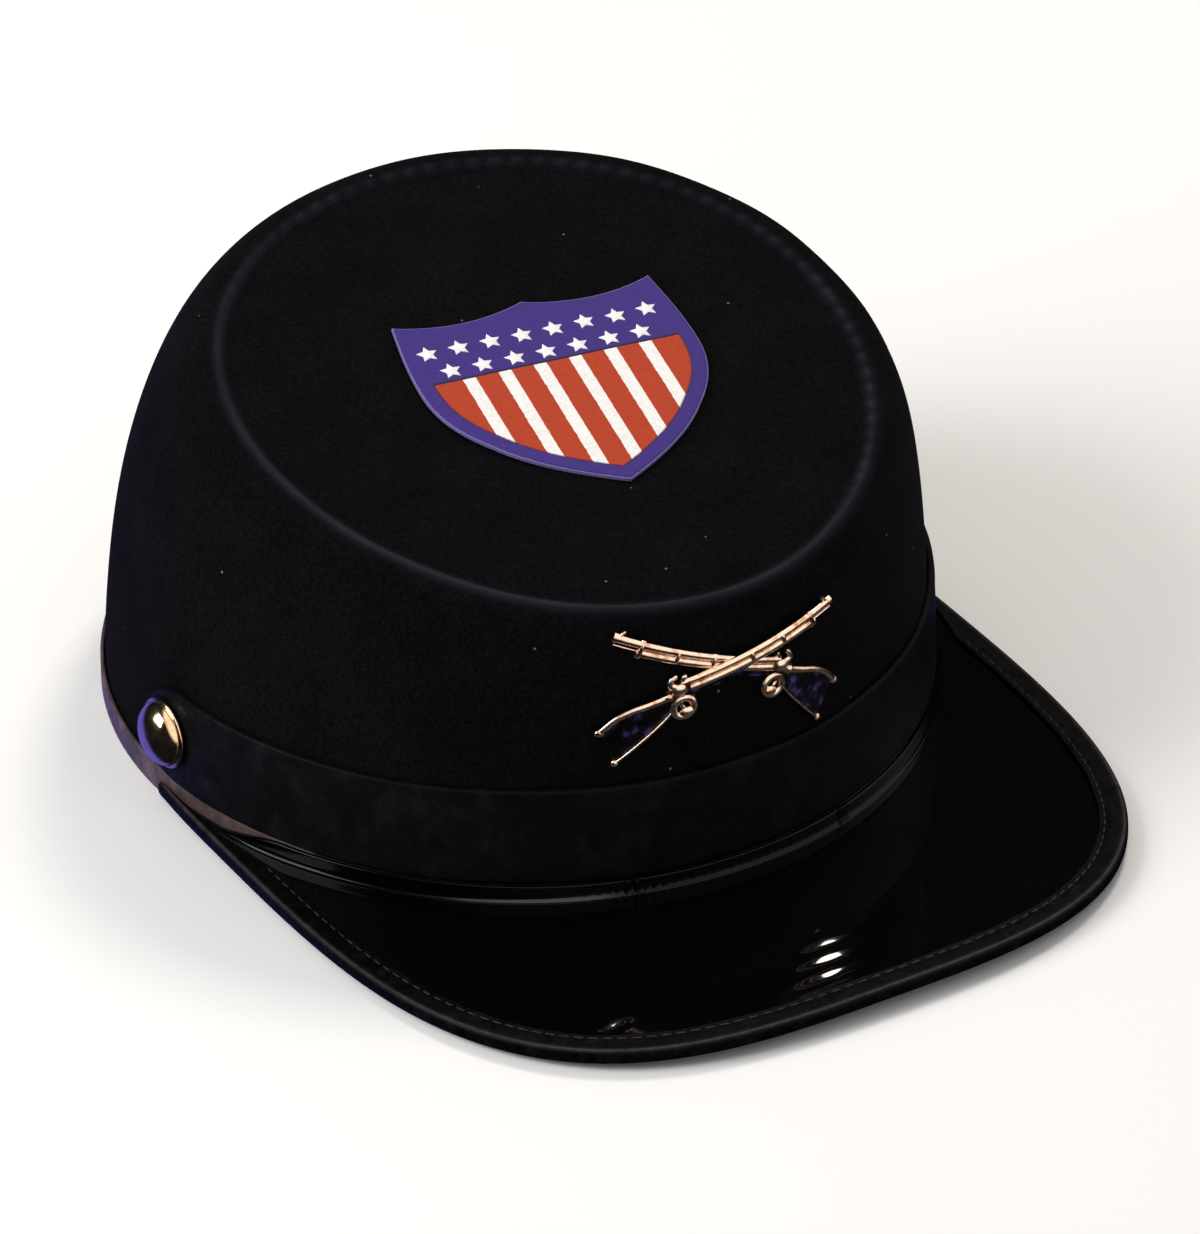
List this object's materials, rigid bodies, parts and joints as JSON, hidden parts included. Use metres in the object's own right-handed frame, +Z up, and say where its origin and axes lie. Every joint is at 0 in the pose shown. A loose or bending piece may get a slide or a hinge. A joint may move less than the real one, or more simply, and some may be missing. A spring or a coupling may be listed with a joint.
{
  "type": "kepi cap",
  "caption": "Moulded felt kepi with a forward-sloping flat top, glossy taped peak, chin strap on domed gilt buttons, crossed rifles pin and shield patch.",
  "frame": {"origin": "on the resting plane, under the middle of the cap's bounding box", "axes": "+Z up, the peak towards -Y, the wearer's left towards +X"},
  "size_m": [0.1976, 0.2606, 0.1036],
  "materials": {
    "felt": "black pressed wool felt",
    "hem_vinyl": "grey-brown leathercloth binding",
    "patent_vinyl": "black patent vinyl",
    "edge_tape": "black stitched vinyl tape",
    "strap_vinyl": "black grained leathercloth",
    "gilt_brass": "polished gilt",
    "printed_patch": "printed shield with stars and stripes"
  },
  "bodies": {
    "root": {"crown": "felt", "base_binding": "hem_vinyl", "peak": "patent_vinyl", "peak_binding": "edge_tape", "strap": "strap_vinyl", "button_right": "gilt_brass", "button_left": "gilt_brass", "rifles_badge": "gilt_brass", "shield_patch": "printed_patch"}
  },
  "joints": []
}
